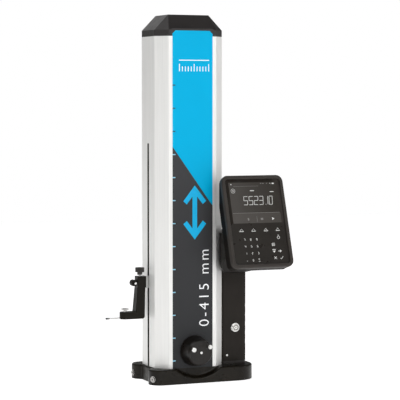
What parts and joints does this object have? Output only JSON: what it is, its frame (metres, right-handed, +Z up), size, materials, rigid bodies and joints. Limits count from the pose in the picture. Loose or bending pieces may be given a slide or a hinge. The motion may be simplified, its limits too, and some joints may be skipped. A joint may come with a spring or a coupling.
{
  "type": "electronic height gauge",
  "caption": "Free-standing height gauge: air-floating base, slotted column with a driven probe carriage, handwheel, tilting display on a grip pillar.",
  "frame": {"origin": "on the base's lapped underside, on the column's vertical axis", "axes": "+Z up the column, +X from the probe side to the grip pillar, -Y towards the user"},
  "size_m": [0.3741, 0.2473, 0.803],
  "materials": {
    "base_gloss": "black gloss lacquer",
    "column_alu": "satin anodised",
    "label_print": "printed film, blue over dark grey",
    "cap_black": "fine satin black",
    "seal_rubber": "matte",
    "bright_steel": "ground bright steel",
    "dark_steel": "blackened steel",
    "inner_alu": "as machined",
    "inner_iron": "raw cast",
    "chrome": "polished",
    "wheel_black": "semi-gloss black",
    "pillar_black": "fine moulded texture",
    "arm_black": "black anodised satin",
    "display_black": "soft black",
    "window_glass": "tinted glossy pane",
    "keypad_film": "printed membrane",
    "lamp_white": "translucent white",
    "bush_bronze": "plain bronze",
    "scale_glass": "ground glass scale",
    "battery_wrap": "heat-shrink wrap",
    "board_green": "solder mask",
    "carbide": "lapped carbide"
  },
  "bodies": {
    "frame": {"base_casting": "base_gloss", "foot_studs": "chrome", "column_screws": "dark_steel", "column": "column_alu", "front_label": "label_print", "slot_seals": "seal_rubber", "top_cap": "cap_black", "cap_screws": "dark_steel", "guide_foot": "inner_iron", "guide_head": "inner_iron", "guide_rail": "bright_steel", "scale_strip": "scale_glass", "weight_rod": "bright_steel", "shaft_bearing": "bush_bronze", "bearing_screws": "dark_steel", "idler_axle": "bright_steel", "drive_band": "bright_steel", "pillar_plinth": "pillar_black", "grip_front": "pillar_black", "grip_rear": "pillar_black", "cover_screws": "dark_steel", "charger_inlet": "cap_black", "battery_pack": "battery_wrap", "air_pump": "inner_alu", "button_bezel": "chrome", "status_lamp": "lamp_white", "display_arm": "arm_black", "arm_screws": "dark_steel", "hinge_pin": "bright_steel"},
    "carriage": {"carriage_block": "inner_alu", "rail_bushes": "bush_bronze", "reading_head": "arm_black", "band_clamp": "inner_alu", "slot_link": "inner_alu", "probe_arm": "arm_black", "stylus": "bright_steel", "stylus_tip": "carbide"},
    "thumb_screw": {"thumb_screw": "bright_steel", "thumb_head": "arm_black"},
    "side_clamp": {"side_clamp": "chrome"},
    "insert_clamp": {"insert_clamp": "bright_steel"},
    "handwheel": {"handwheel": "wheel_black", "handwheel_shaft": "bright_steel", "drive_pulley": "inner_alu", "hub_screw": "chrome", "wheel_plug": "chrome", "crank_stud": "chrome"},
    "crank": {"crank_spinner": "chrome"},
    "idler": {"idler_pulley": "inner_alu"},
    "counterweight": {"counterweight": "inner_iron"},
    "air_button": {"air_button": "bright_steel"},
    "display": {"display_shell": "display_black", "display_bezel": "display_black", "display_window": "window_glass", "keypad": "keypad_film", "lcd_module": "cap_black", "main_board": "board_green", "display_screws": "dark_steel"}
  },
  "joints": [
    {"name": "carriage_travel", "type": "slide", "parent": "frame", "child": "carriage", "axis": [0, 0, 1], "range_m": [-0.139, 0.276]},
    {"name": "handwheel_turn", "type": "hinge", "parent": "frame", "child": "handwheel", "pos_m": [0.004, 0, 0.0702], "axis": [0, 1, 0], "range_deg": [-530.99, 1054.29]},
    {"name": "idler_turn", "type": "hinge", "parent": "frame", "child": "idler", "pos_m": [0.004, 0, 0.69], "axis": [0, 1, 0], "range_deg": [-530.99, 1054.29]},
    {"name": "counterweight_travel", "type": "slide", "parent": "frame", "child": "counterweight", "axis": [0, 0, 1], "range_m": [-0.276, 0.139]},
    {"name": "crank_spin", "type": "hinge", "parent": "handwheel", "child": "crank", "pos_m": [0.019, -0.107, 0.0838], "axis": [0, 1, 0], "continuous": true},
    {"name": "thumb_screw_turn", "type": "hinge", "parent": "carriage", "child": "thumb_screw", "pos_m": [-0.10015, 0, 0.24], "axis": [0, 0, 1], "range_deg": [0, 360]},
    {"name": "side_clamp_turn", "type": "hinge", "parent": "carriage", "child": "side_clamp", "pos_m": [-0.1146, 0, 0.218], "axis": [0, 1, 0], "range_deg": [0, 360]},
    {"name": "insert_clamp_turn", "type": "hinge", "parent": "carriage", "child": "insert_clamp", "pos_m": [-0.135, 0, 0.155], "axis": [0, 0, 1], "range_deg": [0, 360]},
    {"name": "air_button_press", "type": "slide", "parent": "frame", "child": "air_button", "axis": [0, 1, 0], "range_m": [0, 0.002], "stiffness_N_per_m": 600, "springref_m": -0.0015},
    {"name": "display_tilt", "type": "hinge", "parent": "frame", "child": "display", "pos_m": [0.1005, -0.112, 0.299], "axis": [1, 0, 0], "range_deg": [-6.8, 18.2]}
  ],
  "couplings": [
    {"joint": "handwheel_turn", "follows": "carriage_travel", "rad_per_m": 66.667},
    {"joint": "idler_turn", "follows": "carriage_travel", "rad_per_m": 66.667},
    {"joint": "counterweight_travel", "follows": "carriage_travel", "ratio": -1}
  ]
}
